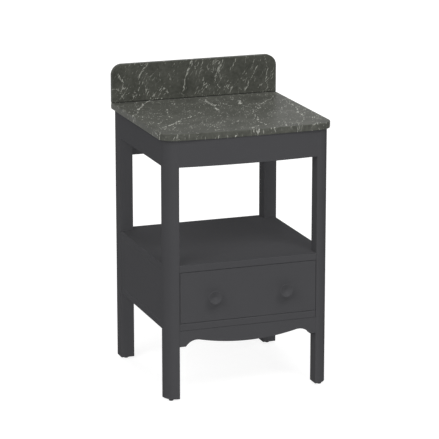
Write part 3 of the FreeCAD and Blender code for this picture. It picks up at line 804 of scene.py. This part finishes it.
class Finishes:
    """Every finish of the washstand, made once."""

    def __init__(self) -> None:
        """Make the materials."""
        birch = {
            "pale": "DBC8A6", "dark": "CDB48E", "line": "8F7250",
            "grain_size": 1.5 * MM, "grain_run": 90 * MM, "ply": 1.3 * MM, "roughness": 0.42,
        }
        pine = {
            "pale": "D8BC8E", "dark": "BF9560", "line": "BF9560",
            "grain_size": 3 * MM, "grain_run": 160 * MM, "ply": 6 * MM, "roughness": 0.62,
        }
        self.paint = SprayedPaint().make()
        # The top's copy of the marble has a lighter ground and paler veins than the splashback's:
        # painted light, for the brighter light and sheen that the level polished top catches.
        self.top = PolishedMarble(
            "marble_polished_top", Along.Z, TOP_VEINS, stroke_size=(3.4 * MM, 22 * MM),
            dark="474843", light="5D5E58", vein_colour="C0C1B9", specular=0.025,
            gather=0.2, scatter=0.03,
        ).make()
        self.splash = PolishedMarble(
            "marble_polished_splashback", Along.Y, SPLASH_VEINS,
            stroke_size=(2.8 * MM, 15 * MM), joint=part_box("stone_splashback")[0].z,
        ).make()
        side, front = Grain.BACKWARDS_FACING_SIDE, Grain.ACROSS_FACING_FRONT
        floor, upright = Grain.ACROSS_FACING_UP, Grain.UPRIGHT_FACING_FRONT
        self.ply_side = ClearWood("birch_plywood_lacquered_side", side, **birch).make()
        self.ply_front = ClearWood("birch_plywood_lacquered_front", front, **birch).make()
        self.ply_floor = ClearWood("birch_plywood_lacquered_floor", floor, **birch).make()
        self.pine_long = ClearWood("pine_planed_long", side, **pine).make()
        self.pine_cross = ClearWood("pine_planed_cross", front, **pine).make()
        self.pine_upright = ClearWood("pine_planed_upright", upright, **pine).make()
        self.zinc = ZincPlatedSteel().make()
        self.nylon = MouldedNylon().make()


class Body(Enum):
    """The moving bodies that new pieces ride on."""

    FRAME = "frame"
    DRAWER = "drawer"


def add_piece(name: str, skin: Skin, finish: Material, body: Body, node: str) -> None:
    """Make a piece from its skin, and let it stand for a node of the frame.

    Args:
        name: The piece's name.
        skin: Its surface, in the frame.
        finish: Its material.
        body: The body that it rides on.
        node: The node that it replaces.
    """
    mesh = bpy.data.meshes.new(name)
    faces = skin.faces
    mesh.from_pydata(skin.points.tolist(), [], faces, shade_flat=False)
    mesh.normals_split_custom_set_from_vertices(skin.normals.tolist())
    mesh.materials.append(finish)
    piece = bpy.data.objects.new(name, mesh)
    bpy.context.scene.collection.objects.link(piece)
    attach(piece, body.value)
    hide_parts(node)
    LOG.info("%s: %d faces, rides on %s", name, len(faces), body.value)


def add_painted(node: str, skin: Skin, finishes: Finishes, body: Body = Body.FRAME) -> None:
    """Make a painted wooden piece, named for the node that it stands for."""
    add_piece("painted_" + node, skin, finishes.paint, body, node)


def dress(finish: Material, *nodes: str) -> None:
    """Give nodes that keep their own shape a finish.

    Args:
        finish: The material.
        nodes: The nodes.
    """
    for node in nodes:
        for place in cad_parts[node].material_slots:
            place.material = finish
        LOG.info("%s: keeps its solid, in %s", node, finish.name)


@dataclass
class LegFrame:
    """The four legs, the rails under the top and the glides."""

    finishes: Finishes
    leg_round: float = 38 * MM
    arris: float = 1.2 * MM
    bow: float = 12 * MM
    bury: float = 8 * MM
    tuck: float = 2.5 * MM
    glide_round: float = 1.5 * MM
    glide_around: int = 40

    def build(self) -> None:
        """Build and dress the frame."""
        for side in SIDES:
            for end in ENDS:
                self.leg(side, end)
            self.side_rail(side)
        self.frieze()
        self.glides()
        dress(self.finishes.paint, "back_rail")
        blocks = [f"corner_block_{end}_{side}" for end in ENDS for side in SIDES]
        dress(self.finishes.pine_upright, *blocks)

    def leg(self, side: str, end: str) -> None:
        """Build a leg: a square carried upwards, a front one with a large round outer corner.

        Args:
            side: Left or right.
            end: Front or back.
        """
        node = f"leg_{end}_{side}"
        radii = [self.arris] * 4
        if end == "front":
            radii[0 if side == "left" else 1] = self.leg_round
        add_painted(node, board(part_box(node), radii, Along.Z), self.finishes)

    def side_rail(self, side: str) -> None:
        """Build a side rail: a rectangle carried across, which ends just inside both legs.

        Args:
            side: Left or right.
        """
        node = f"side_rail_{side}"
        low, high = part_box(node)
        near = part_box(f"leg_front_{side}")[1].y - self.tuck
        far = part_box(f"leg_back_{side}")[0].y + self.tuck
        box = (low.x, near, low.z), (high.x, far, high.z)
        add_painted(node, board(box, self.arris, Along.X), self.finishes)

    def frieze(self) -> None:
        """Build the front rail: a wide arc in front, which runs on into the legs, flat behind."""
        node = "frieze_rail"
        low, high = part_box(node)
        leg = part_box("leg_front_right")[0]
        radius = (leg.x ** 2 + self.bow ** 2) / (2 * self.bow)
        middle = leg.y - self.bow + radius
        reach = leg.x + self.bury
        half = math.asin(reach / radius)
        front = Bend((0, middle), radius, -QUARTER - half, -QUARTER + half)
        near = middle - radius * math.cos(half)
        back = rectangle((-reach, near), (reach, high.y), self.arris)[2:]
        skin = prism([front, *back], low.z, high.z, self.arris, Along.Z)
        add_painted(node, skin, self.finishes)

    def glides(self) -> None:
        """Build the four glides: discs with a rounded rim, under the middle of each leg."""
        node = "foot_glides"
        low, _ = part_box(node)
        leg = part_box("leg_front_left")
        radius = (leg[0].x + leg[1].x) / 2 - low.x
        turn = np.linspace(0, QUARTER, EDGE_STEPS + 1)
        bend = self.glide_round
        rim = np.stack((
            radius - bend + bend * np.sin(turn), low.z + bend - bend * np.cos(turn),
        ), axis=-1)
        profile = np.concatenate((rim, [[radius, leg[0].z + bend]]))
        legs = [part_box(f"leg_{end}_{side}") for end in ENDS for side in SIDES]
        feet = [((near.x + far.x) / 2, (near.y + far.y) / 2, 0.0) for near, far in legs]
        skin = Skin.joined(turned(profile, foot, Facing.UP, self.glide_around) for foot in feet)
        add_piece("moulded_foot_glides", skin, self.finishes.nylon, Body.FRAME, node)


@dataclass
class Stonework:
    """The marble top and the splashback that stands on it."""

    finishes: Finishes
    bow: float = 11.5 * MM
    front_corner: float = 45 * MM
    back_corner: float = 2.4 * MM
    splash_corner: float = 33 * MM
    polish: float = 2.4 * MM

    def build(self) -> None:
        """Build both stones."""
        self.top()
        self.splashback()

    def top(self) -> None:
        """Build the top: a wide front arc, a round on each side of it, and two square corners."""
        node = "stone_top"
        low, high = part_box(node)
        bend = self.front_corner
        radius = (high.x ** 2 + self.bow ** 2) / (2 * self.bow)
        middle = low.y + radius
        reach = high.x - bend
        lean = math.asin(reach / (radius - bend))
        level = middle - (radius - bend) * math.cos(lean)
        outline = [
            Bend((0, middle), radius, -QUARTER - lean, -QUARTER + lean),
            Bend((reach, level), bend, -QUARTER + lean, 0),
            *rectangle((low.x, level), high.to_2d(), self.back_corner)[2:],
            Bend((-reach, level), bend, math.pi, 3 * QUARTER - lean),
        ]
        skin = prism(outline, low.z, high.z, self.polish, Along.Z)
        add_piece("marble_top", skin, self.finishes.top, Body.FRAME, node)

    def splashback(self) -> None:
        """Build the splashback: a board with two large upper corners, carried backwards."""
        node = "stone_splashback"
        radii = [self.polish, self.polish, self.splash_corner, self.splash_corner]
        skin = board(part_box(node), radii, Along.Y)
        add_piece("marble_splashback", skin, self.finishes.splash, Body.FRAME, node)


@dataclass
class DrawerCase:
    """The open shelf, and the boards round the drawer below it."""

    finishes: Finishes
    arris: float = 1.6 * MM
    bottom_arris: float = 3.6 * MM
    apron_arris: float = 0.5 * MM
    scoop: float = 40.5 * MM
    scoop_rise: float = 17.8 * MM
    foot: float = 18.5 * MM

    def build(self) -> None:
        """Build and dress the case."""
        self.notched("shelf", self.arris)
        self.notched("bottom_board", self.bottom_arris)
        for side in SIDES:
            self.panel(f"side_panel_{side}", Along.X)
        self.panel("back_panel", Along.Y)
        self.apron()
        dress(self.finishes.pine_cross, *[f"apron_block_{side}" for side in SIDES])

    def notched(self, node: str, arris: float) -> None:
        """Build a board notched round the legs: twelve corners carried upwards.

        Args:
            node: The board.
            arris: The radius of its edges.
        """
        low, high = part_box(node)
        front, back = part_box("leg_front_right"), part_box("leg_back_right")
        inner, near, far = front[0].x, front[1].y, back[0].y
        right = [
            (inner, low.y), (inner, near), (high.x, near),
            (high.x, far), (inner, far), (inner, high.y),
        ]
        corners = right + [(-x, y) for x, y in reversed(right)]
        skin = prism(rounded(corners, arris), low.z, high.z, arris, Along.Z)
        add_painted(node, skin, self.finishes)

    def panel(self, node: str, along: Along) -> None:
        """Build a panel: a rectangle carried through its thickness."""
        add_painted(node, board(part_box(node), self.arris, along), self.finishes)

    def apron(self) -> None:
        """Build the apron: a foot beside each leg, two hollows, and the belly that touches both.

        A hollow's centre lies under its crest, one radius below it. The belly's centre lies on
        the middle line, and its circle touches both hollows and hangs to the feet.
        """
        node = "apron"
        low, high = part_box(node)
        foot = high.x - self.foot
        drop = self.scoop - self.scoop_rise
        centre = low.z - drop
        crest = foot - math.sqrt(self.scoop ** 2 - drop ** 2)
        belly = (crest ** 2 + drop ** 2 - self.scoop ** 2) / (2 * self.scoop_rise)
        touch = math.atan2(crest, belly + drop)
        start = math.atan2(drop, foot - crest)
        arc = self.apron_arris
        trim = arc * math.tan((QUARTER - start) / 2)
        first = start + trim / self.scoop
        ahead = (foot - math.sin(start), low.z + math.cos(start))
        square = rectangle((-high.x, low.z), (high.x, high.z), arc)
        outline = [
            square[0],
            corner((-high.x, low.z), (-foot, low.z), (-ahead[0], ahead[1]), arc),
            Bend((-crest, centre), self.scoop, math.pi - first, QUARTER - touch, hollow=True),
            Bend((0, low.z + belly), belly, -QUARTER - touch, -QUARTER + touch),
            Bend((crest, centre), self.scoop, QUARTER + touch, first, hollow=True),
            corner(ahead, (foot, low.z), (high.x, low.z), arc),
            *square[1:],
        ]
        skin = prism(outline, low.y, high.y, arc, Along.Y)
        add_painted(node, skin, self.finishes)


@dataclass
class Drawer:
    """The drawer: its front, two turned knobs and the box behind."""

    finishes: Finishes
    arris: float = 1.0 * MM
    knob_base: float = 9 * MM
    knob_neck: float = 7 * MM
    neck_length: float = 9 * MM
    rim: float = 3 * MM
    dish: float = 7.5 * MM
    face_end: float = 0.99
    profile_steps: int = 20
    around: int = 96

    def build(self) -> None:
        """Build and dress the drawer."""
        self.front()
        self.knobs()
        dress(self.finishes.ply_side, *[f"drawer_box_side_{side}" for side in SIDES])
        dress(self.finishes.ply_front, "drawer_box_front", "drawer_box_back")
        dress(self.finishes.ply_floor, "drawer_box_bottom")
        dress(self.finishes.zinc, "front_screws", "knob_screws")

    def front(self) -> None:
        """Build the drawer front: a rectangle carried backwards."""
        node = "drawer_front"
        skin = board(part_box(node), self.arris, Along.Y)
        add_painted(node, skin, self.finishes, Body.DRAWER)

    def knob_profile(self, radius: float, reach: float) -> np.ndarray:
        """Draw a knob's profile, from its foot to the middle of its face.

        The neck thins by a square law, the back is a quarter ellipse, the rim is a half circle
        and the face is a cone that sinks by the dish, up to the small flat that closes it.

        Args:
            radius: The knob's largest radius.
            reach: How far it stands out.

        Returns:
            Radius and reach of each point.
        """
        share = np.linspace(0, 1, self.profile_steps, endpoint=False)
        bend = self.rim / 2
        face = radius - bend
        neck = np.stack((
            self.knob_neck + (self.knob_base - self.knob_neck) * (1 - share) ** 2,
            self.neck_length * share,
        ), axis=-1)
        back = np.stack((
            self.knob_neck + (face - self.knob_neck) * (1 - np.cos(QUARTER * share)),
            self.neck_length + (reach - self.rim - self.neck_length) * np.sin(QUARTER * share),
        ), axis=-1)
        rim = np.stack((
            face + bend * np.sin(math.pi * share),
            reach - bend - bend * np.cos(math.pi * share),
        ), axis=-1)
        inward = 1 - np.linspace(0, self.face_end, self.profile_steps)
        dished = np.stack((face * inward, reach - self.dish * (1 - inward)), axis=-1)
        return np.concatenate((neck, back, rim, dished))

    def knobs(self) -> None:
        """Build both knobs, pointing forward from the drawer front."""
        node = "knobs"
        low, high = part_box(node)
        radius = (high.z - low.z) / 2
        profile = self.knob_profile(radius, high.y - low.y)
        centre = high.x - radius
        level = (low.z + high.z) / 2
        skin = Skin.joined(
            turned(profile, (centre * side, high.y, level), Facing.FORWARD, self.around)
            for side in SIDES.values()
        )
        add_piece("turned_knobs", skin, self.finishes.paint, Body.DRAWER, node)


@dataclass
class Runners:
    """The telescopic runners, the packers that they are screwed to, and their screws."""

    finishes: Finishes
    members: tuple[str, ...] = ("fixed", "middle", "drawer")

    def build(self) -> None:
        """Dress the runners, which keep their solids."""
        for side in SIDES:
            dress(self.finishes.zinc, *[f"runner_{member}_{side}" for member in self.members])
            dress(self.finishes.zinc, f"runner_screws_{side}", f"drawer_runner_screws_{side}")
            dress(self.finishes.pine_long, f"runner_packer_{side}")


@dataclass(frozen=True)
class Lamp:
    """A broad lamp far away: bearing from the front, height and breadth in degrees, strength.

    A lamp without shadow fills the recesses evenly.
    """

    name: str
    bearing: float
    height: float
    breadth: float
    strength: float
    shadow: bool = True

    @property
    def rotation(self) -> Place:
        """Give the turn that points the lamp, which shines down, at the object."""
        return (QUARTER - math.radians(self.height), 0, math.radians(self.bearing))


LAMPS = (
    Lamp("key", 8, 52, 24, 0.9),
    Lamp("front_left", -50, 35, 40, 1.06),
    Lamp("right", 90, 25, 40, 0.3),
    Lamp("back", 180, 25, 40, 0.72),
    Lamp("fill_front", 0, 0, 10, 1.24, shadow=False),
    Lamp("fill_back_left", -135, 0, 10, 1.12, shadow=False),
    Lamp("fill_back_right", 135, 0, 10, 1.3, shadow=False),
    Lamp("fill_above", 0, 90, 10, 0.88, shadow=False),
)


@dataclass
class Studio:
    """A pale floor, white surroundings, broad soft lamps and the camera."""

    floor_reach: float = 60.0
    floor_colour: str = "B4B4B4"
    floor_glow: float = 0.72
    sky: float = 0.05
    sky_colour: str = "FFFFFF"
    camera_at: Place = (-2.3355, -6.4624, 2.2579)
    camera_yaw: float = 19.816
    camera_dip: float = 14.606
    lens: float = 197.82
    sensor: float = 36.0
    clip_end: float = 200.0

    def build(self) -> None:
        """Set the view, and build the floor, the light and the camera."""
        bpy.context.scene.view_settings.view_transform = "Standard"
        self.floor()
        self.world()
        for lamp in LAMPS:
            self.hang(lamp)
        self.camera()

    def seen(self, tree: Tree) -> Socket:
        """Tell what the camera sees, straight or by gloss or glass, from what lights the object.

        Args:
            tree: The tree.

        Returns:
            One for those rays, or else zero.
        """
        rays = add_node(tree, "LightPath").outputs
        shine = calculate(tree, "MAXIMUM", rays["Is Glossy Ray"], rays["Is Transmission Ray"])
        return calculate(tree, "MAXIMUM", rays["Is Camera Ray"], shine)

    def floor(self) -> None:
        """Lay a matt pale floor that looks white and still takes the object's shadow."""
        reach = self.floor_reach
        mesh = bpy.data.meshes.new("floor")
        corners = [(-reach, -reach, 0), (reach, -reach, 0), (reach, reach, 0), (-reach, reach, 0)]
        mesh.from_pydata(corners, [], [(0, 1, 2, 3)])
        material = bpy.data.materials.new("paper_floor_matt")
        material.use_nodes = True
        tree = material.node_tree
        tree.nodes.clear()
        matt = add_node(tree, "BsdfDiffuse", {"Color": linear(self.floor_colour)})
        share = calculate(tree, "MULTIPLY", self.seen(tree), self.floor_glow)
        glow = add_node(tree, "Emission", {"Strength": share})
        both = add_node(tree, "AddShader", {0: matt.outputs["BSDF"], 1: glow.outputs["Emission"]})
        add_node(tree, "OutputMaterial", {"Surface": both.outputs["Shader"]})
        mesh.materials.append(material)
        floor = bpy.data.objects.new("floor", mesh)
        bpy.context.scene.collection.objects.link(floor)

    def world(self) -> None:
        """Surround the object with even light, which looks white."""
        world = bpy.data.worlds.new("studio")
        world.use_nodes = True
        tree = world.node_tree
        tree.nodes.clear()
        level = remap(tree, self.seen(tree), (0.0, 1.0), (self.sky, 1.0))
        light = add_node(tree, "Background", {"Color": linear(self.sky_colour), "Strength": level})
        add_node(tree, "OutputWorld", {"Surface": light.outputs["Background"]})
        bpy.context.scene.world = world

    def hang(self, lamp: Lamp) -> None:
        """Hang a lamp, which no polished face mirrors: it mirrors the white surroundings.

        Args:
            lamp: The lamp.
        """
        light = bpy.data.lights.new(lamp.name, "SUN")
        light.energy, light.angle = lamp.strength, math.radians(lamp.breadth)
        light.use_shadow = lamp.shadow
        hung = bpy.data.objects.new(lamp.name, light)
        hung.visible_glossy = False
        bpy.context.scene.collection.objects.link(hung)
        hung.rotation_euler = lamp.rotation

    def camera(self) -> None:
        """Set the camera at the photograph's angle."""
        data = bpy.data.cameras.new("camera")
        data.lens = self.lens
        data.sensor_width = self.sensor
        data.sensor_fit = "HORIZONTAL"
        data.clip_end = self.clip_end
        camera = bpy.data.objects.new("camera", data)
        bpy.context.scene.collection.objects.link(camera)
        camera.location = self.camera_at
        tilt = QUARTER - math.radians(self.camera_dip)
        camera.rotation_euler = (tilt, 0, -math.radians(self.camera_yaw))
        bpy.context.scene.camera = camera


def main() -> None:
    """Build every part of the washstand and the studio."""
    logging.basicConfig(level=logging.INFO, format="%(name)s %(message)s")
    finishes = Finishes()
    for assembly in (LegFrame, Stonework, DrawerCase, Drawer, Runners):
        assembly(finishes).build()
    Studio().build()
    bpy.context.view_layer.update()


if __name__ == "__main__":
    main()
